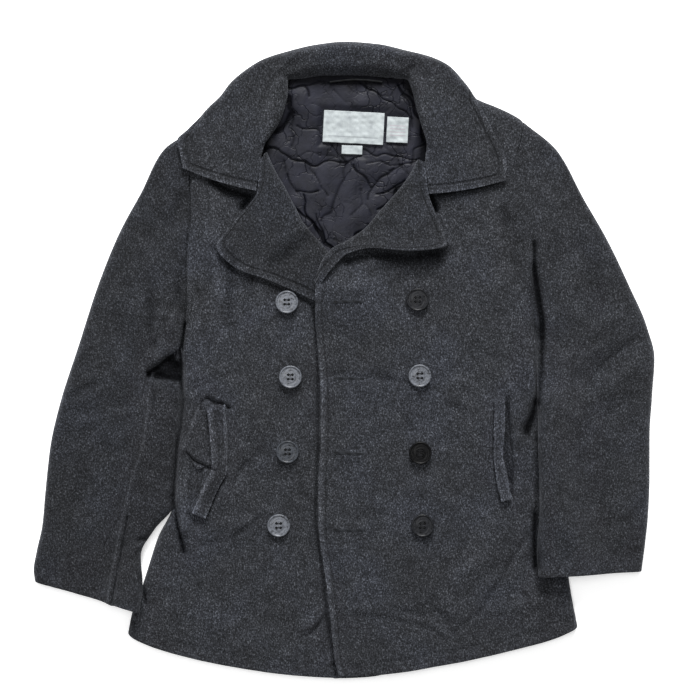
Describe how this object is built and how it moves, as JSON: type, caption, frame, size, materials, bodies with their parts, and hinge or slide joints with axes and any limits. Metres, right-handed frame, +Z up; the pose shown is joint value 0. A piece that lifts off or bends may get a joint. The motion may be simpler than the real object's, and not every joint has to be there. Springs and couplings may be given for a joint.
{
  "type": "pea coat",
  "caption": "Double-breasted wool pea coat laid flat on its back, unbuttoned, with a wide notched collar, turned lapels and slanted pockets.",
  "frame": {"origin": "centre of the bounding box's underside: the surface that the coat lies on is z = 0", "axes": "+Z up, out of the surface; +Y from the hem to the collar; +X towards the wearer's left, which is the right-hand side as the coat is seen from above"},
  "size_m": [0.778, 0.7958, 0.0368],
  "materials": {
    "wool": "heavy melton wool, milled and brushed, charcoal with paler flecks, dull with a soft sheen at grazing light",
    "lining": "quilted black nylon, crinkled, with a soft gloss",
    "loop": "black corded loop, tightly woven, slightly shiny",
    "label": "pale grey woven satin tape, left without words",
    "button": "moulded dark grey four-hole buttons, polished rim and dished middle"
  },
  "bodies": {
    "root": {"back": "wool", "front_right": "wool", "front_left": "wool", "lapel_right": "wool", "lapel_left": "wool", "collar": "wool", "sleeve_right_upper": "wool", "sleeve_right_under": "wool", "sleeve_left_upper": "wool", "sleeve_left_under": "wool", "welt_right": "wool", "welt_left": "wool", "pocket_facing_right": "wool", "neck_lining": "lining", "hanger_loop": "loop", "label_main": "label", "label_side": "label", "label_size": "label", "button_right_1": "button", "button_right_2": "button", "button_right_3": "button", "button_right_4": "button", "button_left_1": "button", "button_left_2": "button", "button_left_3": "button", "button_left_4": "button"}
  },
  "joints": []
}
